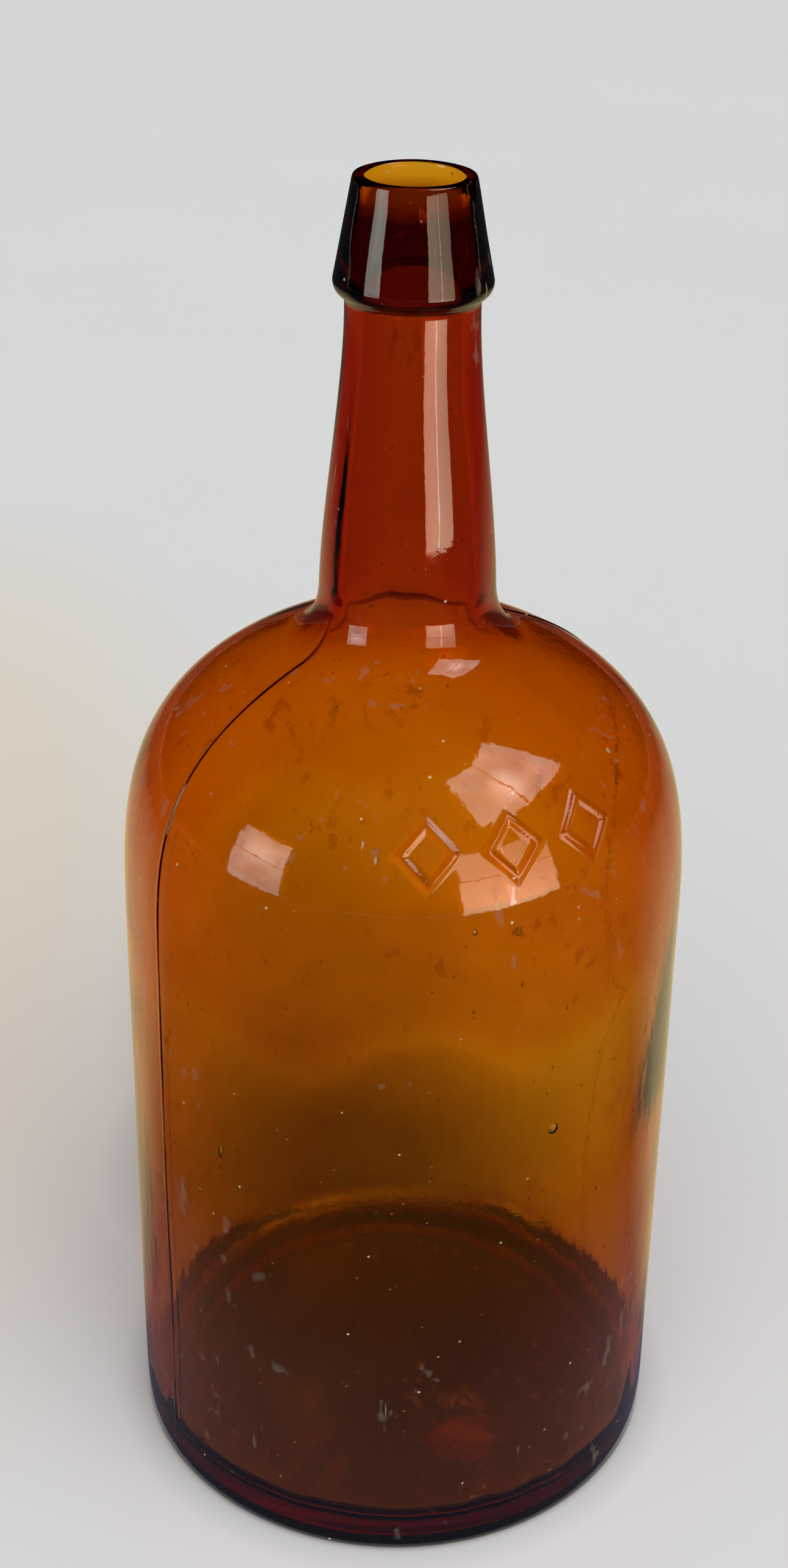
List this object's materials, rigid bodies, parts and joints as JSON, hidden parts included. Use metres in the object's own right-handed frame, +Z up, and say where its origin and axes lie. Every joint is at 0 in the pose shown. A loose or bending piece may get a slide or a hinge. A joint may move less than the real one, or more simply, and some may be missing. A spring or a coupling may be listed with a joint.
{
  "type": "glass bottle",
  "caption": "Tall cylindrical amber glass bottle with a domed shoulder, long tapering neck, applied tapered collar and open mouth, for storing and pouring liquids.",
  "frame": {"origin": "centre of the base, on the surface that the bottle stands on", "axes": "+Z up through the mouth, -Y towards the front, where the raised lozenges are, +X to the right seen from the front"},
  "size_m": [0.1524, 0.1524, 0.371],
  "materials": {
    "body_glass": "clear amber glass, glossy, with faint waves, seeds and scratches",
    "collar_glass": "the same amber glass where it is thickest, so nearly black with a red glow"
  },
  "bodies": {
    "root": {"blown_body": "body_glass", "applied_collar": "collar_glass"}
  },
  "joints": []
}
